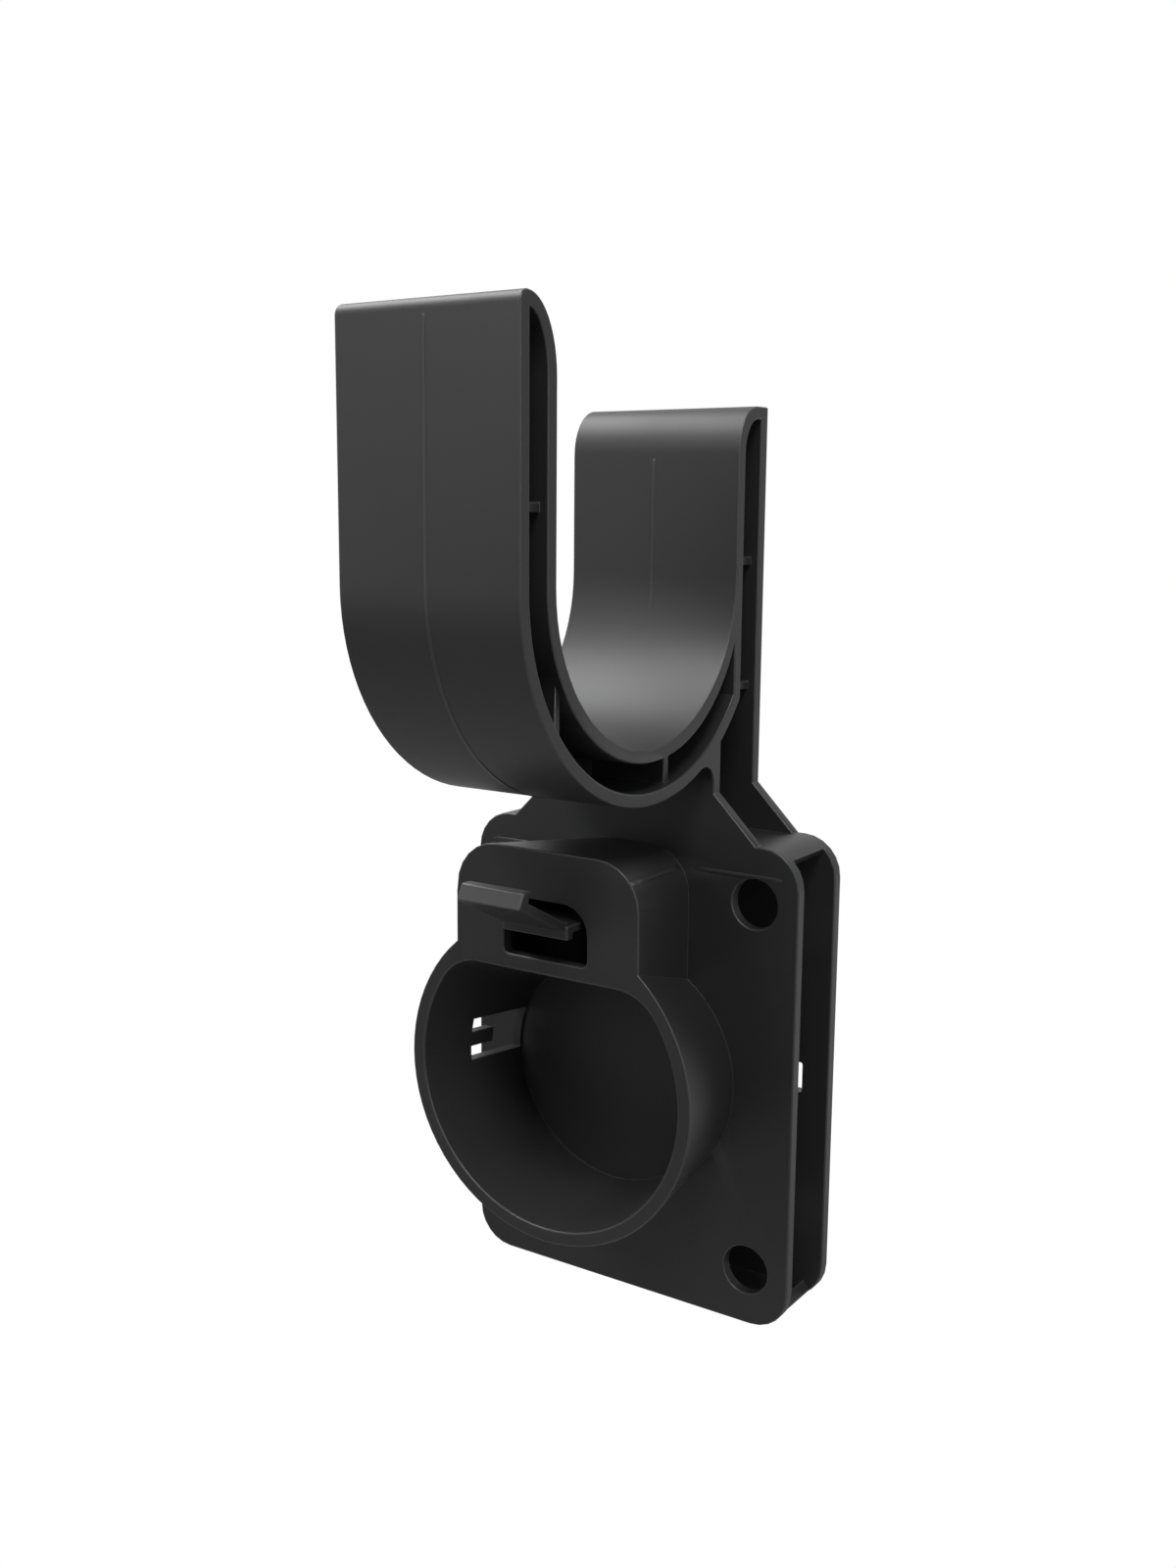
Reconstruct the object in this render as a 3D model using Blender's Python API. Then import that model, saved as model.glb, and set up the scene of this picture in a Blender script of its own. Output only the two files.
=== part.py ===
"""Wall holder for a charging connector and its cable, moulded in one piece.

X runs across the plate, +Y points into the wall and +Z is up.
The origin is the middle of the plate's wall face, so the front is at -Y.
Depths (d) are counted from the wall face towards the front, so y = -d.
"""
import math

import bmesh
import bpy

MM = 0.001

# Plate box: two plates with open sides, held apart by a web and end walls
PLATE_WIDTH = 90.0 * MM
PLATE_HEIGHT = 115.4 * MM
PLATE_CORNER = 9.4 * MM
BOX_DEPTH = 21.7 * MM
WALL = 3.0 * MM
WEB = 3.0 * MM
FLARE_SHARE = 0.86
CORNER_WALL_SHARE = 0.47

# Screw holes and the two slots in the wall plate
SCREW_INSET_X = 11.1 * MM
SCREW_INSET_Z = 13.3 * MM
SCREW_HOLE = 5.0 * MM
SCREW_ACCESS = 11.6 * MM
STRAP_SLOT_INSET = 10.2 * MM
STRAP_SLOT_Z = -1.5 * MM
STRAP_SLOT_WIDTH = 6.6 * MM
STRAP_SLOT_HEIGHT = 7.5 * MM

# Cable hook
ARM_WIDTH = 45.4 * MM
HOOK_RADIUS = 35.5 * MM
HOOK_RISE = 60.1 * MM
BACK_ARM_DEPTH = 13.1 * MM
BACK_ARM_HEIGHT = 38.3 * MM
BACK_FLAT = 4.5 * MM
BACK_NOSE_HEIGHT = 10.8 * MM
FRONT_ARM_HEIGHT = 54.1 * MM
FRONT_NOSE_HEIGHT = 15.0 * MM
FRONT_LIP = 2.4 * MM
BAND_DEPTH = 11.8 * MM
BAND_SAG = 0.6 * MM
THROAT_RADIUS = 4.0 * MM

# Stiffening ribs in the side recesses, placed as shares of the hook radius
RIB = 2.0 * MM
RIB_INSET = 2.0 * MM
FRONT_RIB_SHARE = 0.425
BOWL_RIB_SHARES = (-0.913, 0.256)
BACK_RIB_SHARES = (0.093, -0.724)

# Connector cup, a funnel with a flattened top
CUP_REACH = 56.3 * MM
MOUTH_RADIUS = 35.0 * MM
MOUTH_RIM = 3.3 * MM
MOUTH_Z = 5.3 * MM
BASE_RADIUS = 29.6 * MM
BASE_RIM = 2.6 * MM
BASE_Z = -0.6 * MM
CUP_FLAT_SHARE = 0.714
CUP_BEND_SHARE = 0.343
FLOOR_DEPTH = 26.5 * MM
FLOOR_RIM = 4.0 * MM

# Latch tower above the cup
TOWER_WIDTH = 49.4 * MM
TOWER_BASE_WIDTH = 33.2 * MM
TOWER_TOP = 58.6 * MM
TOWER_BASE_TOP = 55.3 * MM
TOWER_CORNER = 11.0 * MM
TOWER_ROOT_SHARE = 0.4

# Latch pocket and the sprung catch in it
POCKET_WIDTH = 22.6 * MM
POCKET_HEIGHT = 13.3 * MM
POCKET_SILL = 3.5 * MM
POCKET_SHOULDER = 6.5 * MM
POCKET_CORNER = 1.5 * MM
CATCH_WIDTH = 17.6 * MM
CATCH_THICKNESS = 1.8 * MM
CATCH_Z = 43.5 * MM
CATCH_STAND_OFF = 3.7 * MM
CATCH_BEAK = 2.3 * MM
CATCH_BEAK_DROP = 1.4 * MM
CATCH_ROOT_DEPTH = 30.0 * MM
CATCH_SHELF = 6.0 * MM
TAB_WIDTH = 16.6 * MM
TAB_REACH = 17.0 * MM
TAB_RISE = 8.8 * MM
PAD_HEIGHT = 3.4 * MM
PAD_LEAN = 1.9 * MM
PAD_THICKNESS = 2.7 * MM

# Window in the cup's left wall, with a short snap tongue reaching into it
WINDOW_FLOOR_GAP = 0.6 * MM
WINDOW_LENGTH = 15.0 * MM
WINDOW_HEIGHT = 10.5 * MM
WINDOW_Z = 5.2 * MM
TONGUE_LENGTH = 6.2 * MM
TONGUE_HEIGHT = 3.7 * MM

# How far cutters run past the face they leave through
OVERRUN = 1.0 * MM

ARC_STEPS = 36
CUP_STEPS = 72
BEND_STEPS = 6
SMOOTH_ANGLE = math.radians(32.0)

half_width = PLATE_WIDTH / 2.0
half_height = PLATE_HEIGHT / 2.0
arm_half = ARM_WIDTH / 2.0
hook_y = -(BACK_ARM_DEPTH + HOOK_RADIUS)
hook_z = half_height + HOOK_RISE
band_radius = HOOK_RADIUS + BAND_DEPTH
band_z = hook_z - BAND_SAG
front_y = hook_y - band_radius
front_top = hook_z + FRONT_ARM_HEIGHT
back_top = hook_z + BACK_ARM_HEIGHT


def arc(centre, radii, first, last, steps):
    """Points centre + (a cos t, b sin t) for t from first to last degrees."""
    points = []
    for i in range(steps + 1):
        t = math.radians(first + (last - first) * i / steps)
        points.append((centre[0] + radii[0] * math.cos(t), centre[1] + radii[1] * math.sin(t)))
    return points


def rounded_box(x0, x1, z0, z1, low_radius, high_radius):
    """Rectangle with one radius at its lower and one at its upper corners."""
    low = (low_radius, low_radius)
    high = (high_radius, high_radius)
    points = arc((x1 - low_radius, z0 + low_radius), low, -90.0, 0.0, BEND_STEPS)
    points += arc((x1 - high_radius, z1 - high_radius), high, 0.0, 90.0, BEND_STEPS)
    points += arc((x0 + high_radius, z1 - high_radius), high, 90.0, 180.0, BEND_STEPS)
    points += arc((x0 + low_radius, z0 + low_radius), low, 180.0, 270.0, BEND_STEPS)
    return points


def solid(name, rings):
    """Closed body through rings of equally many points, capped at both ends."""
    work = bmesh.new()
    loops = [[work.verts.new(point) for point in ring] for ring in rings]
    for lower, upper in zip(loops, loops[1:]):
        for i in range(len(lower)):
            k = (i + 1) % len(lower)
            work.faces.new((lower[i], lower[k], upper[k], upper[i]))
    work.faces.new(loops[0])
    work.faces.new(loops[-1])
    bmesh.ops.recalc_face_normals(work, faces=work.faces)
    mesh = bpy.data.meshes.new(name)
    work.to_mesh(mesh)
    work.free()
    body = bpy.data.objects.new(name, mesh)
    bpy.context.scene.collection.objects.link(body)
    return body


def across(name, outline, x0, x1):
    """Side outline of (y, z) points drawn out along X."""
    return solid(name, [[(x, y, z) for y, z in outline] for x in (x0, x1)])


def into(name, outline, d0, d1):
    """Front outline of (x, z) points drawn out between two depths."""
    return solid(name, [[(x, -d, z) for x, z in outline] for d in (d0, d1)])


def funnel(name, section, depths):
    """Body whose (x, z) section is a function of the depth."""
    return solid(name, [[(x, -d, z) for x, z in section(d)] for d in depths])


def combine(body, tool, operation):
    """Join a tool to the body or cut it away, then drop the tool."""
    change = body.modifiers.new(operation.lower(), "BOOLEAN")
    change.operation = operation
    change.solver = "EXACT"
    change.object = tool
    graph = bpy.context.evaluated_depsgraph_get()
    result = bpy.data.meshes.new_from_object(body.evaluated_get(graph))
    spent = [body.data, tool.data]
    body.modifiers.clear()
    body.data = result
    bpy.data.objects.remove(tool)
    for mesh in spent:
        bpy.data.meshes.remove(mesh)


def plate_outline():
    """Rounded plate whose top edge rises at 45 degrees into the neck."""
    low = -half_height
    corner = (PLATE_CORNER, PLATE_CORNER)
    inner = half_width - PLATE_CORNER
    foot = arm_half + FLARE_SHARE * (inner - arm_half)
    tip = arm_half - WALL / 2.0
    right = arc((inner, low + PLATE_CORNER), corner, -90.0, 0.0, BEND_STEPS)
    right += arc((inner, half_height - PLATE_CORNER), corner, 0.0, 90.0, BEND_STEPS)
    right += [(foot, half_height), (tip, half_height + foot - tip)]
    return right + [(-x, z) for x, z in reversed(right)]


def side_recess(side):
    """Open space on one side of the web, closed by the end walls and a share of each corner."""
    inner = half_width - PLATE_CORNER
    low = -half_height + PLATE_CORNER
    high = half_height - PLATE_CORNER
    bend = (PLATE_CORNER - WALL, PLATE_CORNER - WALL)
    clear = PLATE_CORNER + 3.0 * OVERRUN
    end = 90.0 * (1.0 - CORNER_WALL_SHARE)
    right = arc((inner, low), bend, -90.0, -end, BEND_STEPS)
    right += arc((inner, low), (clear, clear), -end, 0.0, 2)
    right += arc((inner, high), (clear, clear), 0.0, end, 2)
    right += arc((inner, high), bend, end, 90.0, BEND_STEPS)
    right += [(WEB / 2.0, half_height - WALL), (WEB / 2.0, -half_height + WALL)]
    return [(side * x, z) for x, z in right]


def hook_outline(bottom):
    """Side view of hook and neck, down to the bottom height."""
    nose = (BACK_ARM_DEPTH - BACK_FLAT, BACK_NOSE_HEIGHT)
    points = [(0.0, bottom), (0.0, back_top)]
    points += arc((-BACK_FLAT, back_top - BACK_NOSE_HEIGHT), nose, 90.0, 180.0, 2 * BEND_STEPS)
    points += arc((hook_y, hook_z), (HOOK_RADIUS, HOOK_RADIUS), 0.0, -180.0, ARC_STEPS)
    nose = (BAND_DEPTH - FRONT_LIP, FRONT_NOSE_HEIGHT)
    centre = (front_y + FRONT_LIP, front_top - FRONT_NOSE_HEIGHT)
    points += arc(centre, nose, 0.0, 90.0, 2 * BEND_STEPS)
    lip = (FRONT_LIP, FRONT_LIP)
    points += arc((front_y + FRONT_LIP, front_top - FRONT_LIP), lip, 90.0, 180.0, BEND_STEPS)[1:]
    # The throat circle touches both the underside of the band and the neck's front
    throat_y = -BOX_DEPTH - THROAT_RADIUS
    rise = band_radius + THROAT_RADIUS
    throat_z = band_z - math.sqrt(rise ** 2 - (throat_y - hook_y) ** 2)
    touch = math.degrees(math.atan2(throat_z - band_z, throat_y - hook_y))
    points += arc((hook_y, band_z), (band_radius, band_radius), -180.0, touch, ARC_STEPS - BEND_STEPS)
    throat = (THROAT_RADIUS, THROAT_RADIUS)
    points += arc((throat_y, throat_z), throat, touch + 180.0, 0.0, BEND_STEPS)[1:]
    points.append((-BOX_DEPTH, bottom))
    return points


def band_recess():
    """Recess in the U band and the front arm, with a pointed upper end."""
    nose = (BAND_DEPTH - FRONT_LIP - WALL, FRONT_NOSE_HEIGHT - WALL)
    centre = (front_y + FRONT_LIP, front_top - FRONT_NOSE_HEIGHT)
    point = math.degrees(math.acos((WALL - FRONT_LIP) / nose[0]))
    points = arc(centre, nose, 0.0, point, 2 * BEND_STEPS)
    outer = band_radius - WALL
    inner = HOOK_RADIUS + WALL
    low = -math.degrees(math.acos(HOOK_RADIUS / outer))
    high = -math.degrees(math.acos(HOOK_RADIUS / inner))
    points += arc((hook_y, band_z), (outer, outer), -180.0, low, ARC_STEPS)
    points += arc((hook_y, hook_z), (inner, inner), high, -180.0, ARC_STEPS)
    return points


def neck_recess():
    """Recess between the wall plate and the front of the neck and back arm."""
    nose = (BACK_ARM_DEPTH - BACK_FLAT - WALL, BACK_NOSE_HEIGHT - WALL)
    points = [(-WALL, half_height), (-WALL, back_top - WALL)]
    points += arc((-BACK_FLAT, back_top - BACK_NOSE_HEIGHT), nose, 90.0, 180.0, 2 * BEND_STEPS)
    low = -math.degrees(math.acos((HOOK_RADIUS + WALL) / band_radius))
    neck = BACK_ARM_DEPTH + HOOK_RADIUS - BOX_DEPTH + WALL
    high = -math.degrees(math.acos(neck / band_radius))
    points += arc((hook_y, band_z), (band_radius, band_radius), low, high, BEND_STEPS)
    points.append((-BOX_DEPTH + WALL, half_height))
    return points


def share(depth):
    """0 at the front plate, 1 at the mouth of the cup."""
    return (depth - BOX_DEPTH) / (CUP_REACH - BOX_DEPTH)


def blend(base, mouth, depth):
    return base + (mouth - base) * share(depth)


def cup_outside(depth):
    radius = blend(BASE_RADIUS, MOUTH_RADIUS + MOUTH_RIM, depth)
    centre = (0.0, blend(BASE_Z, MOUTH_Z, depth))
    return arc(centre, (radius, radius), -90.0, 270.0, CUP_STEPS)[:-1]


def flat_topped(radius, centre_z):
    """Circle of a radius, cut flat at a share of it, with rounded shoulders."""
    flat = CUP_FLAT_SHARE * radius
    bend = CUP_BEND_SHARE * radius
    shoulder_z = flat - bend
    shoulder_x = math.sqrt((radius - bend) ** 2 - shoulder_z ** 2)
    turn = math.degrees(math.atan2(shoulder_z, shoulder_x))
    right = arc((0.0, centre_z), (radius, radius), -90.0, turn, CUP_STEPS // 3)
    right += arc((shoulder_x, centre_z + shoulder_z), (bend, bend), turn, 90.0, 2 * BEND_STEPS)[1:]
    return right + [(-x, z) for x, z in reversed(right[1:])]


def cup_radius(depth):
    return blend(BASE_RADIUS - BASE_RIM, MOUTH_RADIUS, depth)


def cup_inside(depth):
    return flat_topped(cup_radius(depth), blend(BASE_Z, MOUTH_Z, depth))


def cup_roof(depth):
    """Height of the flat top inside the cup."""
    return blend(BASE_Z, MOUTH_Z, depth) + CUP_FLAT_SHARE * cup_radius(depth)


def tower_half(depth):
    return blend(TOWER_BASE_WIDTH, TOWER_WIDTH, depth) / 2.0


def tower_top(depth):
    return blend(TOWER_BASE_TOP, TOWER_TOP, depth)


def tower_outside(depth):
    half = tower_half(depth)
    bottom = blend(BASE_Z, MOUTH_Z, depth) + TOWER_ROOT_SHARE * cup_radius(depth)
    corner = WALL
    return rounded_box(-half, half, bottom, tower_top(depth), corner, TOWER_CORNER)


def tower_inside(depth):
    half = tower_half(depth) - WALL
    bottom = cup_roof(depth) + WALL
    return rounded_box(-half, half, bottom, tower_top(depth) - WALL, POCKET_CORNER, TOWER_CORNER - WALL)


for existing in list(bpy.data.objects):
    bpy.data.objects.remove(existing)

# Plate box and hook as full blocks, then the recesses cut in from both sides.
# The material left between them is the central web.
holder = into("holder", plate_outline(), 0.0, BOX_DEPTH)
hook = across("hook", hook_outline(half_height - 2.0 * WALL), -arm_half, arm_half)
combine(holder, hook, "UNION")
past = half_width + OVERRUN
for side in (-1.0, 1.0):
    near = side * WEB / 2.0
    combine(holder, across("band_cut", band_recess(), near, side * past), "DIFFERENCE")
    combine(holder, across("neck_cut", neck_recess(), near, side * past), "DIFFERENCE")
    combine(holder, into("side_cut", side_recess(side), WALL, BOX_DEPTH - WALL), "DIFFERENCE")

# Cup and tower, rooted in the front plate
root = BOX_DEPTH - WALL / 2.0
cup = funnel("cup", cup_outside, (root, CUP_REACH))
combine(cup, funnel("tower", tower_outside, (root, CUP_REACH)), "UNION")
combine(holder, cup, "UNION")
behind = BOX_DEPTH - WALL - OVERRUN
combine(holder, funnel("bore", cup_inside, (FLOOR_DEPTH, CUP_REACH + OVERRUN)), "DIFFERENCE")
hollow = flat_topped(cup_radius(BOX_DEPTH) - FLOOR_RIM / 2.0, BASE_Z)
combine(holder, into("hollow", hollow, behind, FLOOR_DEPTH - WALL), "DIFFERENCE")
combine(holder, funnel("core", tower_inside, (behind, CUP_REACH - WALL)), "DIFFERENCE")

# Latch pocket through the tower's front wall
pocket_floor = cup_roof(CUP_REACH) + POCKET_SILL
pocket = rounded_box(-POCKET_WIDTH / 2.0, POCKET_WIDTH / 2.0, pocket_floor,
                     pocket_floor + POCKET_HEIGHT, POCKET_CORNER, POCKET_SHOULDER)
combine(holder, into("pocket", pocket, CUP_REACH - WALL - OVERRUN, CUP_REACH + OVERRUN), "DIFFERENCE")

# Screw holes, wide in the front plate for the driver and narrow in the wall plate
for side in (-1.0, 1.0):
    for level in (-1.0, 1.0):
        centre = (side * (half_width - SCREW_INSET_X), level * (half_height - SCREW_INSET_Z))
        wide = arc(centre, (SCREW_ACCESS / 2.0, SCREW_ACCESS / 2.0), 0.0, 360.0, ARC_STEPS)[:-1]
        narrow = arc(centre, (SCREW_HOLE / 2.0, SCREW_HOLE / 2.0), 0.0, 360.0, ARC_STEPS)[:-1]
        combine(holder, into("access", wide, behind, BOX_DEPTH + OVERRUN), "DIFFERENCE")
        combine(holder, into("screw", narrow, -OVERRUN, WALL + OVERRUN), "DIFFERENCE")
    slot_x = side * (half_width - STRAP_SLOT_INSET)
    slot = rounded_box(slot_x - STRAP_SLOT_WIDTH / 2.0, slot_x + STRAP_SLOT_WIDTH / 2.0,
                       STRAP_SLOT_Z - STRAP_SLOT_HEIGHT / 2.0, STRAP_SLOT_Z + STRAP_SLOT_HEIGHT / 2.0,
                       STRAP_SLOT_WIDTH / 12.0, STRAP_SLOT_WIDTH / 12.0)
    combine(holder, into("strap", slot, -OVERRUN, WALL + OVERRUN), "DIFFERENCE")

# Window through the cup's left wall, cut round the tongue
deep = -FLOOR_DEPTH - WINDOW_FLOOR_GAP
shallow = deep - WINDOW_LENGTH
tip = shallow + TONGUE_LENGTH
low = WINDOW_Z - WINDOW_HEIGHT / 2.0
high = WINDOW_Z + WINDOW_HEIGHT / 2.0
under = WINDOW_Z - TONGUE_HEIGHT / 2.0
over = WINDOW_Z + TONGUE_HEIGHT / 2.0
window = [(deep, low), (deep, high), (shallow, high), (shallow, over),
          (tip, over), (tip, under), (shallow, under), (shallow, low)]
wall_in = cup_radius(-deep) - 2.0 * WALL
wall_out = cup_radius(-shallow) + 2.0 * WALL
combine(holder, across("window", window, -wall_out, -wall_in), "DIFFERENCE")

# Rib behind the cup's floor, in line with the web
rib_half = cup_radius(BOX_DEPTH) * CUP_FLAT_SHARE
rib_front = -FLOOR_DEPTH + WALL / 2.0
rib_back = -behind + OVERRUN
floor_rib = [(rib_front, BASE_Z - rib_half), (rib_back, BASE_Z - rib_half),
             (rib_back, BASE_Z + rib_half), (rib_front, BASE_Z + rib_half)]
combine(holder, across("floor_rib", floor_rib, -WEB / 2.0, WEB / 2.0), "UNION")


def rib(name, y0, y1, z0, z1):
    """Rib across the full hook, set back from both side faces."""
    reach = arm_half - RIB_INSET
    combine(holder, across(name, [(y0, z0), (y1, z0), (y1, z1), (y0, z1)], -reach, reach), "UNION")


level = hook_z + FRONT_RIB_SHARE * HOOK_RADIUS
rib("front_rib", front_y + WALL / 2.0, front_y + BAND_DEPTH - WALL / 2.0, level - RIB / 2.0, level + RIB / 2.0)
for part in BOWL_RIB_SHARES:
    offset = part * HOOK_RADIUS
    outer = band_radius - WALL / 2.0
    inner = HOOK_RADIUS + WALL / 2.0
    bottom = band_z - math.sqrt(outer ** 2 - offset ** 2)
    top = hook_z - math.sqrt(inner ** 2 - offset ** 2)
    rib("bowl_rib", hook_y + offset - RIB / 2.0, hook_y + offset + RIB / 2.0, bottom, top)
for part in BACK_RIB_SHARES:
    level = hook_z + part * HOOK_RADIUS
    rib("back_rib", -BACK_ARM_DEPTH + WALL / 2.0, -WALL / 2.0, level - RIB / 2.0, level + RIB / 2.0)

# Sprung catch: a shelf between the tower's walls, a strip with a beak and a raised tab
def shelf_section(depth):
    half = tower_half(depth) - WALL / 2.0
    top = CATCH_Z + CATCH_THICKNESS / 4.0
    bottom = CATCH_Z - 1.25 * CATCH_THICKNESS
    return [(-half, bottom), (half, bottom), (half, top), (-half, top)]


catch = funnel("catch", shelf_section, (CATCH_ROOT_DEPTH, CATCH_ROOT_DEPTH + CATCH_SHELF))
face = -(CUP_REACH + CATCH_STAND_OFF)
beak_low = CATCH_Z - CATCH_THICKNESS - CATCH_BEAK_DROP
strip = [(-CATCH_ROOT_DEPTH - CATCH_SHELF / 2.0, CATCH_Z - CATCH_THICKNESS),
         (face + CATCH_BEAK, CATCH_Z - CATCH_THICKNESS), (face + CATCH_BEAK, beak_low),
         (face, beak_low), (face, CATCH_Z), (-CATCH_ROOT_DEPTH - CATCH_SHELF / 2.0, CATCH_Z)]
combine(catch, across("strip", strip, -CATCH_WIDTH / 2.0, CATCH_WIDTH / 2.0), "UNION")
pad_low = (face - TAB_REACH, CATCH_Z - CATCH_THICKNESS + TAB_RISE)
pad_high = (pad_low[0] + PAD_LEAN, pad_low[1] + PAD_HEIGHT)
rear = face + CATCH_BEAK / 2.0
tab = [(rear, CATCH_Z - CATCH_THICKNESS * 0.8), (face, CATCH_Z - CATCH_THICKNESS * 0.8), pad_low, pad_high,
       (pad_high[0] + PAD_THICKNESS, pad_high[1]),
       (pad_low[0] + PAD_THICKNESS + PAD_LEAN / 2.0, pad_low[1] + CATCH_THICKNESS / 2.0),
       (face, CATCH_Z + CATCH_THICKNESS / 2.0), (rear, CATCH_Z + CATCH_THICKNESS / 2.0)]
combine(catch, across("tab", tab, -TAB_WIDTH / 2.0, TAB_WIDTH / 2.0), "UNION")
combine(holder, catch, "UNION")

plastic = bpy.data.materials.new("charcoal_plastic")
plastic.use_nodes = True
shader = plastic.node_tree.nodes["Principled BSDF"]
shader.inputs["Base Color"].default_value = (0.018, 0.018, 0.019, 1.0)
shader.inputs["Roughness"].default_value = 0.42
holder.data.materials.clear()
holder.data.materials.append(plastic)
holder.data.shade_smooth()
holder.data.set_sharp_from_angle(angle=SMOOTH_ANGLE)
holder.data.name = "holder"
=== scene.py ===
# %% [markdown]
# # A moulded holder for a charging connector and its cable
#
# The real thing is one injection moulding: a boxed screw plate, a funnel cup with a
# latch catch above it, and a U hook. The exact solid comes in model.glb, so this lesson
# dresses it: softened edges, parting lines, a satin black plastic, and a
# white studio.

# %% Load the imported model
import math

import bmesh
import bpy
import numpy as np
from mathutils import Matrix, Vector


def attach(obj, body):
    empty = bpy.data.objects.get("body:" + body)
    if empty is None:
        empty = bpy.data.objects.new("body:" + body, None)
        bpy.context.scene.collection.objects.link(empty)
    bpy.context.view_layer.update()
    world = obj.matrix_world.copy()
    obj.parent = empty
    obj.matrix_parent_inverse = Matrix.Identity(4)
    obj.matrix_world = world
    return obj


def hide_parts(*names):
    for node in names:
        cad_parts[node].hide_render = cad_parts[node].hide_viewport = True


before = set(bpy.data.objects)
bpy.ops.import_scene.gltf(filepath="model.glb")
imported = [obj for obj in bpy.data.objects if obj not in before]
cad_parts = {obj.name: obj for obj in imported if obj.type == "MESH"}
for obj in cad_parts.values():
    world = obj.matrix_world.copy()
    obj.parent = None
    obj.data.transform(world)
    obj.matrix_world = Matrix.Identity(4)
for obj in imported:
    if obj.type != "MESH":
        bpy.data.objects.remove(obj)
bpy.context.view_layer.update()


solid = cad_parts["holder"]

# %% [markdown]
# ## Softened edges
#
# A mould is cut with small radii, because a sharp edge breaks and a sharp corner in
# steel wears. Each edge of the real part therefore catches a thin line of light. The
# solid could have been drawn with fillets, but a Bevel modifier on a merged copy gives
# the same highlight and leaves the solid light. Triangles that share a plane are
# dissolved first, so that the bevel meets clean faces.

# %% Merge a copy of the solid
MERGE_DISTANCE = 0.000004
FLAT_ANGLE = math.radians(0.25)
EDGE_ANGLE = math.radians(34.0)


def merged_copy(source, name):
    """A copy of a node's loose triangles with shared corners joined and flat areas dissolved."""
    work = bmesh.new()
    work.from_mesh(source.data)
    bmesh.ops.remove_doubles(work, verts=work.verts, dist=MERGE_DISTANCE)
    bmesh.ops.dissolve_limit(work, angle_limit=FLAT_ANGLE, verts=work.verts, edges=work.edges)
    mesh = bpy.data.meshes.new(name)
    work.to_mesh(mesh)
    open_edges = sum(not edge.is_manifold for edge in work.edges)
    work.free()
    piece = bpy.data.objects.new(name, mesh)
    bpy.context.scene.collection.objects.link(piece)
    print(name, "faces", len(mesh.polygons), "open edges", open_edges)
    return piece


body = merged_copy(solid, "holder_body")
body.data.shade_smooth()
body.data.set_sharp_from_angle(angle=EDGE_ANGLE)

# %% [markdown]
# An edge that stands out catches the light; an inner corner doesn't. The bevel's faces
# are painted a lighter grey, a painted highlight on every rounded edge. One Bevel
# modifier serves both, because every sharp edge gets a weight: a full one where it
# stands out, a small one in a corner, so that its line is too thin to see. A corner with
# no weight at all would spoil the shading of the flat faces next to it. The cup's window
# and the strap slots in the wall plate get hardly any rounding, because a wide bevel
# folds the long flat faces that such a small hole cuts.

# %% Share the rounding out over the edges
OUTER_SHARE = 1.0
INNER_SHARE = 0.2
SMALL_SHARE = 0.05
SMALL_HOLES = [
    ((-0.0400, -0.0360, -0.0060), (-0.0240, -0.0260, 0.0160)),
    ((-0.0400, -0.0060, -0.0070), (-0.0300, 0.0010, 0.0040)),
    ((0.0300, -0.0060, -0.0070), (0.0400, 0.0010, 0.0040)),
]


def in_small_hole(point):
    """Whether a point lies in the box of the cup's window or of a strap slot."""
    for low, high in SMALL_HOLES:
        if all(least < value < most for least, value, most in zip(low, point, high)):
            return True
    return False


def weigh_edges(mesh):
    """Bevel weight of each sharp edge: full where it stands out, small in corners and small holes."""
    work = bmesh.new()
    work.from_mesh(mesh)
    weight = work.edges.layers.float.new("bevel_weight_edge")
    outer = 0
    for edge in work.edges:
        if edge.calc_face_angle() <= EDGE_ANGLE:
            continue
        if in_small_hole((edge.verts[0].co + edge.verts[1].co) / 2.0):
            edge[weight] = SMALL_SHARE
        elif edge.is_convex:
            edge[weight] = OUTER_SHARE
            outer += 1
        else:
            edge[weight] = INNER_SHARE
    work.to_mesh(mesh)
    work.free()
    print("outer edges", outer, "of", len(mesh.edges))


weigh_edges(body.data)

# %% Round the edges
EDGE_RADIUS = 0.0004
EDGE_HIGHLIGHT_SLOT = 1

edge_round = body.modifiers.new("edge_round", "BEVEL")
edge_round.width = EDGE_RADIUS
edge_round.segments = 2
edge_round.limit_method = "WEIGHT"
edge_round.harden_normals = True
edge_round.use_clamp_overlap = False
# The bevel's faces take the lighter edge paint: a painted highlight.
edge_round.material = EDGE_HIGHLIGHT_SLOT
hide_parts("holder")
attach(body, "root")
print("edge radius", EDGE_RADIUS)

# %% [markdown]
# ## Parting lines
#
# Where two parts of a mould meet, the plastic creeps into the joint and leaves a
# hair-thin ridge. It runs down the middle of the front arm and round under the bowl,
# down the front of the back arm, and across the screw plate and up the shoulders of
# the latch tower. It could be a bump texture, but a real ridge of a tenth of a
# millimetre also shows in profile and stays put in every view.

# %% The ridge as a profile carried along a path
RIDGE_WIDTH = 0.0011
RIDGE_HEIGHT = 0.00013
RIDGE_SINK = 0.0002
RIDGE_FADE = 0.00005
RIDGE_POINTS = 7
FADE_POINTS = 2.0
FOOT_SINE = 0.01


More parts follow.
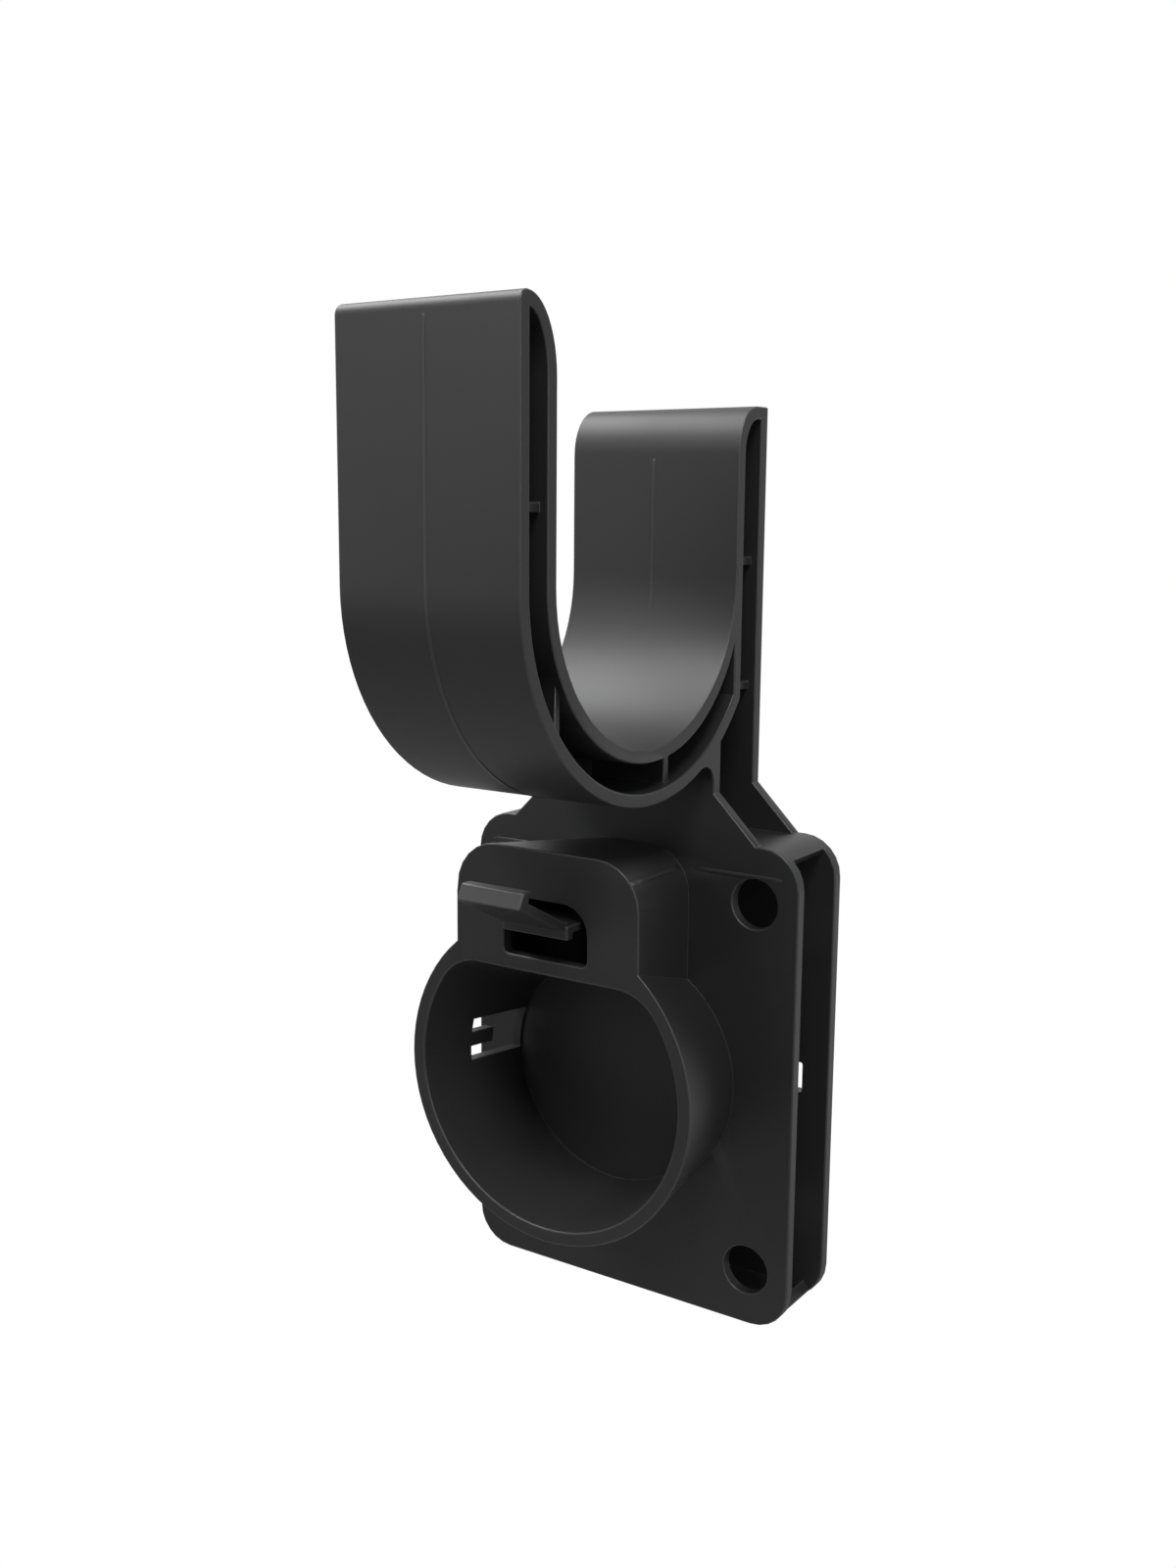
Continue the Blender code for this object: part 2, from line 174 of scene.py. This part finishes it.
def sweep_ridge(name, path, normal, across):
    """A low half-ellipse carried along a path.

    Point (i, j) = path[i] + across * side + normal[i] * height, where side = -w cos t / 2
    and height = h sin t for t from 0 to pi; the two feet are sunk below the skin, and
    the height fades over the last points of both ends, so that the ridge dies away.
    """
    turn = np.linspace(0.0, math.pi, RIDGE_POINTS)
    place = np.arange(len(path))
    full = np.clip(np.minimum(place, place[::-1]) / FADE_POINTS, 0.0, 1.0)[:, None]
    out = RIDGE_HEIGHT * np.sin(turn)[None, :] * full - RIDGE_FADE * (1.0 - full)
    out = np.where(np.sin(turn)[None, :] < FOOT_SINE, -RIDGE_SINK, out)
    side = -RIDGE_WIDTH / 2.0 * np.cos(turn)
    points = path[:, None, :] + normal[:, None, :] * out[:, :, None]
    points = points + np.asarray(across)[None, None, :] * side[None, :, None]
    rows, columns = points.shape[:2]
    index = np.arange(rows * columns).reshape(rows, columns)
    ring = np.concatenate([index, index[:, :1]], axis=1)
    quads = np.stack([ring[:-1, :-1], ring[:-1, 1:], ring[1:, 1:], ring[1:, :-1]], axis=-1)
    faces = quads.reshape(-1, 4).tolist() + [index[0].tolist(), index[-1][::-1].tolist()]
    mesh = bpy.data.meshes.new(name)
    mesh.from_pydata(points.reshape(-1, 3).tolist(), [], faces)
    work = bmesh.new()
    work.from_mesh(mesh)
    bmesh.ops.recalc_face_normals(work, faces=work.faces)
    work.to_mesh(mesh)
    work.free()
    mesh.shade_smooth()
    piece = bpy.data.objects.new(name, mesh)
    bpy.context.scene.collection.objects.link(piece)
    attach(piece, "root")
    print(name, "faces", len(mesh.polygons))
    return piece


# %% The two stretches of a line on the hook
HOOK_Y = -0.0486


def upright_rows(y, top, bottom, count):
    """Rows (y, z, normal y, normal z) straight down a face that looks forward, but for its last point."""
    drop = np.linspace(top, bottom, count)[:-1]
    ahead = np.ones_like(drop)
    return np.stack([np.full_like(drop, y), drop, -ahead, np.zeros_like(drop)], axis=1)


def arc_rows(centre_z, radius, start, end, count, facing):
    """Rows on an arc about the hook's axis: (y, z) = centre + radius (cos a, sin a).

    The normal is facing * (cos a, sin a), so facing is 1 outside and -1 inside the arc.
    """
    turn = np.linspace(start, end, count)
    cosine, sine = np.cos(turn), np.sin(turn)
    places = [HOOK_Y + radius * cosine, centre_z + radius * sine]
    return np.stack(places + [facing * cosine, facing * sine], axis=1)


def profile_path(straight, bend):
    """Path points and outward normals in the plane x = 0 from two sets of rows."""
    rows = np.concatenate([straight, bend])
    zero = np.zeros((len(rows), 1))
    return np.hstack([zero, rows[:, :2]]), np.hstack([zero, rows[:, 2:]])


# %% Down the front arm and round under the bowl
SIDEWAYS = (1.0, 0.0, 0.0)
BAND_RADIUS = 0.0473
BAND_Z = 0.1172
FRONT_LINE_TOP = 0.1694
FRONT_LINE_TURN = math.radians(292.0)

front_straight = upright_rows(HOOK_Y - BAND_RADIUS, FRONT_LINE_TOP, BAND_Z, 40)
front_bend = arc_rows(BAND_Z, BAND_RADIUS, math.pi, FRONT_LINE_TURN, 48, 1.0)
front_ridge = sweep_ridge("front_parting_line", *profile_path(front_straight, front_bend), SIDEWAYS)

# %% Down the front of the back arm into the bowl
HOOK_RADIUS = 0.0355
HOOK_Z = 0.1178
BACK_LINE_TOP = 0.1452
BACK_LINE_TURN = math.radians(-15.0)

back_straight = upright_rows(HOOK_Y + HOOK_RADIUS, BACK_LINE_TOP, HOOK_Z, 20)
back_bend = arc_rows(HOOK_Z, HOOK_RADIUS, 0.0, BACK_LINE_TURN, 8, -1.0)
back_ridge = sweep_ridge("back_parting_line", *profile_path(back_straight, back_bend), SIDEWAYS)

# %% Along a rounded shoulder of the tower
SHOULDER_RADIUS = 0.0110
SHOULDER_TURN = math.radians(36.5)
SHOULDER_ROOT = np.array([0.0166, -0.0217, 0.0553])
SHOULDER_TIP = np.array([0.0247, -0.0563, 0.0586])
LINE_START_SHARE = 0.02
LINE_END_SHARE = 0.985
LINE_POINTS = 6


def shoulder_path(side):
    """Straight line on the tower's rounded shoulder, at a fixed turn round its axis.

    The shoulder's axis lies one radius inside the corner line that runs from root to
    tip; point = axis + radius * (side cos a, 0, sin a) for a share of the way.
    """
    way = np.linspace(LINE_START_SHARE, LINE_END_SHARE, LINE_POINTS)[:, None]
    corner = SHOULDER_ROOT + (SHOULDER_TIP - SHOULDER_ROOT) * way
    out = np.array([math.cos(SHOULDER_TURN), 0.0, math.sin(SHOULDER_TURN)])
    points = corner + SHOULDER_RADIUS * (out - np.array([1.0, 0.0, 1.0]))
    mirror = np.array([side, 1.0, 1.0])
    return points * mirror, np.repeat((out * mirror)[None, :], LINE_POINTS, axis=0)


# %% Across the plate, where that line comes down
PLATE_FRONT = -0.0217
PLATE_LINE_END = 0.0441
LINE_X = SHOULDER_ROOT[0] - SHOULDER_RADIUS * (1.0 - math.cos(SHOULDER_TURN))
LINE_Z = SHOULDER_ROOT[2] - SHOULDER_RADIUS * (1.0 - math.sin(SHOULDER_TURN))


def plate_path(side):
    """Level line on the screw plate's front, point = (side x, front, z) for x out to the rim."""
    reach = np.linspace(LINE_X + RIDGE_SINK, PLATE_LINE_END, LINE_POINTS) * side
    level = np.full(LINE_POINTS, PLATE_FRONT)
    points = np.stack([reach, level, np.full(LINE_POINTS, LINE_Z)], axis=1)
    return points, np.repeat([[0.0, -1.0, 0.0]], LINE_POINTS, axis=0)


print("line comes down at x", LINE_X, "z", LINE_Z)

# %% Both lines on both sides
UPWARDS = (0.0, 0.0, 1.0)
fine_ridges = [front_ridge, back_ridge]
for side, label in ((1.0, "right"), (-1.0, "left")):
    lean = (-side * math.sin(SHOULDER_TURN), 0.0, math.cos(SHOULDER_TURN))
    fine_ridges.append(sweep_ridge(f"tower_parting_line_{label}", *shoulder_path(side), lean))
    fine_ridges.append(sweep_ridge(f"plate_parting_line_{label}", *plate_path(side), UPWARDS))

# %% [markdown]
# ## Satin black plastic
#
# Moulded ABS or nylon for outdoor hardware is nearly black; almost all that the eye
# sees is the studio reflected in a satin skin. The mould's spark-eroded texture breaks
# the gloss up very finely, and the flow of the melt leaves wide, faint changes in
# roughness. Skin, edges and parting lines use the same grain, so it is a node group
# that puts out a roughness and a height. The bevelled edges and the parting lines are
# painted a lighter grey than the skin, as a painted highlight.

# %% A node with its values set
def add_node(tree, kind, operation=None, values=None):
    """A new node with its operation and the values of its inputs set."""
    node = tree.nodes.new(kind)
    if operation:
        node.operation = operation
    for name, value in (values or {}).items():
        node.inputs[name].default_value = value
    return node


# %% A grain group shared by the plastics
GRAIN_SCALE = 2600.0
FLOW_SCALE = 26.0
FLOW_DISTORTION = 0.8
NOISE_MIDDLE = 0.5


def grain_group():
    """Node group: fine mould grain and broad flow marks as Roughness and Height."""
    tree = bpy.data.node_groups.new("moulded_grain", "ShaderNodeTree")
    for name in ("Base Roughness", "Flow"):
        tree.interface.new_socket(name, in_out="INPUT", socket_type="NodeSocketFloat")
    for name in ("Roughness", "Height"):
        tree.interface.new_socket(name, in_out="OUTPUT", socket_type="NodeSocketFloat")
    link = tree.links.new
    given = add_node(tree, "NodeGroupInput")
    result = add_node(tree, "NodeGroupOutput")
    place = add_node(tree, "ShaderNodeTexCoord")
    fine = add_node(tree, "ShaderNodeTexNoise", values={"Scale": GRAIN_SCALE, "Detail": 3.0})
    broad_values = {"Scale": FLOW_SCALE, "Detail": 4.0, "Distortion": FLOW_DISTORTION}
    broad = add_node(tree, "ShaderNodeTexNoise", values=broad_values)
    centred = add_node(tree, "ShaderNodeMath", "SUBTRACT", {1: NOISE_MIDDLE})
    flow = add_node(tree, "ShaderNodeMath", "MULTIPLY")
    total = add_node(tree, "ShaderNodeMath", "ADD")
    total.use_clamp = True
    link(place.outputs["Object"], fine.inputs["Vector"])
    link(place.outputs["Object"], broad.inputs["Vector"])
    link(broad.outputs["Fac"], centred.inputs[0])
    link(centred.outputs[0], flow.inputs[0])
    link(given.outputs["Flow"], flow.inputs[1])
    link(flow.outputs[0], total.inputs[0])
    link(given.outputs["Base Roughness"], total.inputs[1])
    link(total.outputs[0], result.inputs["Roughness"])
    link(fine.outputs["Fac"], result.inputs["Height"])
    print("grain group sockets", len(tree.interface.items_tree))
    return tree


grain = grain_group()

# %% A plastic made with the grain
PLASTIC_IOR = 1.5
GRAIN_DEPTH = 0.00004


def plastic(name, colour, roughness, flow, bump):
    """Satin plastic: one colour, grained roughness and a very fine bump."""
    material = bpy.data.materials.new(name)
    material.use_nodes = True
    tree = material.node_tree
    shader = tree.nodes["Principled BSDF"]
    shader.inputs["Base Color"].default_value = (*colour, 1.0)
    shader.inputs["IOR"].default_value = PLASTIC_IOR
    skin = add_node(tree, "ShaderNodeGroup")
    skin.node_tree = grain
    skin.inputs["Base Roughness"].default_value = roughness
    skin.inputs["Flow"].default_value = flow
    relief = add_node(tree, "ShaderNodeBump", values={"Strength": bump, "Distance": GRAIN_DEPTH})
    tree.links.new(skin.outputs["Roughness"], shader.inputs["Roughness"])
    tree.links.new(skin.outputs["Height"], relief.inputs["Height"])
    tree.links.new(relief.outputs["Normal"], shader.inputs["Normal"])
    print(name, "roughness", roughness)
    return material


# %% Dress the pieces
black = plastic("charcoal_plastic", (0.018, 0.018, 0.019), 0.46, 0.10, 0.25)
# The parting lines' lighter grey is a painted highlight on the ridges.
ridge_highlight = plastic("parting_line_highlight_plastic", (0.032, 0.032, 0.033), 0.40, 0.05, 0.10)
# The edges' lighter grey is a painted highlight on the bevels.
edge_highlight = plastic("edge_highlight_plastic", (0.036, 0.036, 0.037), 0.38, 0.05, 0.10)
body.data.materials.clear()
body.data.materials.append(black)
body.data.materials.append(edge_highlight)
for ridge in fine_ridges:
    ridge.data.materials.append(ridge_highlight)

# %% [markdown]
# ## The lamps
#
# The product picture shows the holder alone on white. Black plastic hardly scatters
# light, so what reads as its shape is what it mirrors. A wide softbox above and to the
# left makes the bright bands in the bowl and on the back arm's rounded top, and a
# smaller one above and in front, to the right, lights the plate and the bowl. A tall
# strip on the right draws the tower's and the cup's right sides, and two weak lamps in
# front and on the left grade the flat fronts. The lamps are rectangles, because a
# studio softbox is one and its edge shows as a soft edge in the gloss.

# %% Softboxes and panels
HOLDER_MIDDLE = (0.0, -0.05, 0.05)
LAMPS = [
    ("upper_left_softbox", (-0.67, -0.22, 1.03), (1.16, 0.42), 13.0),
    ("upper_right_softbox", (0.44, -0.58, 1.03), (0.42, 0.42), 8.0),
    ("right_strip", (1.05, -0.42, 0.42), (0.30, 0.80), 4.0),
    ("front_softbox", (-0.42, -1.01, 0.65), (0.42, 0.42), 2.2),
    ("left_panel", (-0.84, -0.90, 0.16), (0.42, 0.42), 0.8),
]


def softbox(name, place, size, power):
    """Rectangular lamp, size wide and tall, that looks from its place at the holder's middle."""
    light = bpy.data.lights.new(name, "AREA")
    light.shape = "RECTANGLE"
    light.size, light.size_y = size
    light.energy = power
    lamp = bpy.data.objects.new(name, light)
    bpy.context.scene.collection.objects.link(lamp)
    aim = Vector(HOLDER_MIDDLE) - Vector(place)
    turned = aim.to_track_quat("-Z", "Y").to_matrix().to_4x4()
    lamp.matrix_world = Matrix.Translation(place) @ turned
    print(name, "at", place, "watts", power)


for lamp_values in LAMPS:
    softbox(*lamp_values)

# %% [markdown]
# ## White all round
#
# The camera has to see plain white, and the plastic has to stay black. So the world
# answers each kind of ray by itself: white for the camera, a faint fill for scattered
# light, and for reflections a dim room that grows white only towards the backdrop
# behind the holder. A brighter room would wash the black out.

# %% White surroundings
WHITE = (1.0, 1.0, 1.0, 1.0)
FILL = 0.06
ROOM = 0.22
BACKDROP = (-0.55, 0.83, 0.0)
BACKDROP_RANGE = {"From Min": 0.15, "From Max": 0.75, "To Min": ROOM, "To Max": 1.0}

world = bpy.data.worlds.new("studio_white")
bpy.context.scene.world = world
world.use_nodes = True
tree = world.node_tree
tree.nodes.clear()
path = add_node(tree, "ShaderNodeLightPath")
mirrored = add_node(tree, "ShaderNodeMath", "MAXIMUM")
direction = add_node(tree, "ShaderNodeTexCoord")
towards = add_node(tree, "ShaderNodeVectorMath", "DOT_PRODUCT", {1: BACKDROP})
depth = add_node(tree, "ShaderNodeMapRange", values=BACKDROP_RANGE)
fill = add_node(tree, "ShaderNodeBackground", values={"Color": WHITE, "Strength": FILL})
studio = add_node(tree, "ShaderNodeBackground", values={"Color": WHITE})
backdrop = add_node(tree, "ShaderNodeBackground", values={"Color": WHITE, "Strength": 1.0})
reflected = add_node(tree, "ShaderNodeMixShader")
looked_at = add_node(tree, "ShaderNodeMixShader")
output = add_node(tree, "ShaderNodeOutputWorld")
print("world fill", FILL, "room in front", ROOM)

# %% Join the world's nodes
tree.links.new(path.outputs["Is Glossy Ray"], mirrored.inputs[0])
tree.links.new(path.outputs["Is Transmission Ray"], mirrored.inputs[1])
tree.links.new(direction.outputs["Generated"], towards.inputs[0])
tree.links.new(towards.outputs["Value"], depth.inputs["Value"])
tree.links.new(depth.outputs["Result"], studio.inputs["Strength"])
tree.links.new(mirrored.outputs[0], reflected.inputs[0])
tree.links.new(fill.outputs[0], reflected.inputs[1])
tree.links.new(studio.outputs[0], reflected.inputs[2])
tree.links.new(path.outputs["Is Camera Ray"], looked_at.inputs[0])
tree.links.new(reflected.outputs[0], looked_at.inputs[1])
tree.links.new(backdrop.outputs[0], looked_at.inputs[2])
tree.links.new(looked_at.outputs[0], output.inputs["Surface"])
print("world links", len(tree.links))

# %% [markdown]
# ## The floor
#
# A pale matt floor lies well below the holder and keeps its soft shadow. Seen by the
# camera it fades into the white with the distance from the holder, and in reflections
# it turns white only far behind, where the backdrop is.

# %% A flat grid for the floor
FLOOR_Z = -0.60
FLOOR_SIZE = 6.0
FLOOR_STEPS = 8


def floor_grid(size, steps):
    """Flat square of steps by steps quads, point (u, v) = (size (u - 1/2), size (v - 1/2))."""
    u, v = np.meshgrid(np.linspace(-0.5, 0.5, steps + 1), np.linspace(-0.5, 0.5, steps + 1))
    points = np.stack([u * size, v * size, np.full_like(u, FLOOR_Z)], axis=-1)
    index = np.arange(u.size).reshape(u.shape)
    quads = np.stack([index[:-1, :-1], index[:-1, 1:], index[1:, 1:], index[1:, :-1]], axis=-1)
    mesh = bpy.data.meshes.new("floor")
    mesh.from_pydata(points.reshape(-1, 3).tolist(), [], quads.reshape(-1, 4).tolist())
    return mesh


floor = bpy.data.objects.new("floor", floor_grid(FLOOR_SIZE, FLOOR_STEPS))
bpy.context.scene.collection.objects.link(floor)
print("floor at", FLOOR_Z)

# %% Paint that fades into the white
FLOOR_GREY = (0.60, 0.60, 0.60, 1.0)
FADE_RANGE = {"From Min": 0.20, "From Max": 0.58, "To Min": 0.50}
BEHIND_RANGE = {"From Min": 0.40, "From Max": 1.60}

paint = bpy.data.materials.new("floor_paint")
paint.use_nodes = True
tree = paint.node_tree
tree.nodes.clear()
output = add_node(tree, "ShaderNodeOutputMaterial")
matt = add_node(tree, "ShaderNodeBsdfDiffuse", values={"Color": FLOOR_GREY})
glow = add_node(tree, "ShaderNodeEmission", values={"Strength": 1.0})
path = add_node(tree, "ShaderNodeLightPath")
place = add_node(tree, "ShaderNodeTexCoord")
level = add_node(tree, "ShaderNodeVectorMath", "MULTIPLY", {1: (1.0, 1.0, 0.0)})
reach = add_node(tree, "ShaderNodeVectorMath", "LENGTH")
fade = add_node(tree, "ShaderNodeMapRange", values=FADE_RANGE)
parts = add_node(tree, "ShaderNodeSeparateXYZ")
behind = add_node(tree, "ShaderNodeMapRange", values=BEHIND_RANGE)
seen = add_node(tree, "ShaderNodeMath", "MAXIMUM")
mirrored = add_node(tree, "ShaderNodeMath", "MULTIPLY")
seen_or_mirrored = add_node(tree, "ShaderNodeMath", "MAXIMUM")
share = add_node(tree, "ShaderNodeMath", "MULTIPLY")
choice = add_node(tree, "ShaderNodeMixShader")
print("floor grey", FLOOR_GREY[0])

# %% Join the paint's nodes
tree.links.new(place.outputs["Object"], level.inputs[0])
tree.links.new(level.outputs[0], reach.inputs[0])
tree.links.new(reach.outputs["Value"], fade.inputs["Value"])
tree.links.new(place.outputs["Object"], parts.inputs["Vector"])
tree.links.new(parts.outputs["Y"], behind.inputs["Value"])
tree.links.new(path.outputs["Is Glossy Ray"], seen.inputs[0])
tree.links.new(path.outputs["Is Transmission Ray"], seen.inputs[1])
tree.links.new(seen.outputs[0], mirrored.inputs[0])
tree.links.new(behind.outputs["Result"], mirrored.inputs[1])
tree.links.new(mirrored.outputs[0], seen_or_mirrored.inputs[0])
tree.links.new(path.outputs["Is Camera Ray"], seen_or_mirrored.inputs[1])
tree.links.new(fade.outputs["Result"], share.inputs[0])
tree.links.new(seen_or_mirrored.outputs[0], share.inputs[1])
tree.links.new(share.outputs[0], choice.inputs[0])
tree.links.new(matt.outputs[0], choice.inputs[1])
tree.links.new(glow.outputs[0], choice.inputs[2])
tree.links.new(choice.outputs[0], output.inputs["Surface"])
floor.data.materials.append(paint)
print("paint links", len(tree.links))

# %% [markdown]
# ## The camera
#
# The picture was taken from the front right, a little above the hook's bowl. The
# camera is set by its place, its turn, its downward pitch and a slight roll.

# %% Place the camera
CAMERA_PLACE = (0.1994, -0.3344, 0.1323)
YAW = math.radians(34.06)
PITCH = math.radians(9.74)
ROLL = math.radians(0.46)
LENS = 48.72
SENSOR_WIDTH = 36.0
NEAREST = 0.01

lens_data = bpy.data.cameras.new("camera")
lens_data.sensor_fit = "HORIZONTAL"
lens_data.sensor_width = SENSOR_WIDTH
lens_data.lens = LENS
lens_data.clip_start = NEAREST
camera = bpy.data.objects.new("camera", lens_data)
bpy.context.scene.collection.objects.link(camera)
across = Vector((math.cos(YAW), math.sin(YAW), 0.0))
ahead = Vector((-math.sin(YAW), math.cos(YAW), 0.0))
forward = ahead * math.cos(PITCH) + Vector((0.0, 0.0, -math.sin(PITCH)))
upward = across.cross(forward)
right = across * math.cos(ROLL) + upward * math.sin(ROLL)
top = upward * math.cos(ROLL) - across * math.sin(ROLL)
turned = Matrix((right, top, -forward)).transposed().to_4x4()
camera.matrix_world = Matrix.Translation(CAMERA_PLACE) @ turned
bpy.context.scene.camera = camera
bpy.context.scene.view_settings.view_transform = "Standard"
print("camera lens", LENS)

# %% Update the scene and finish
bpy.context.view_layer.update()
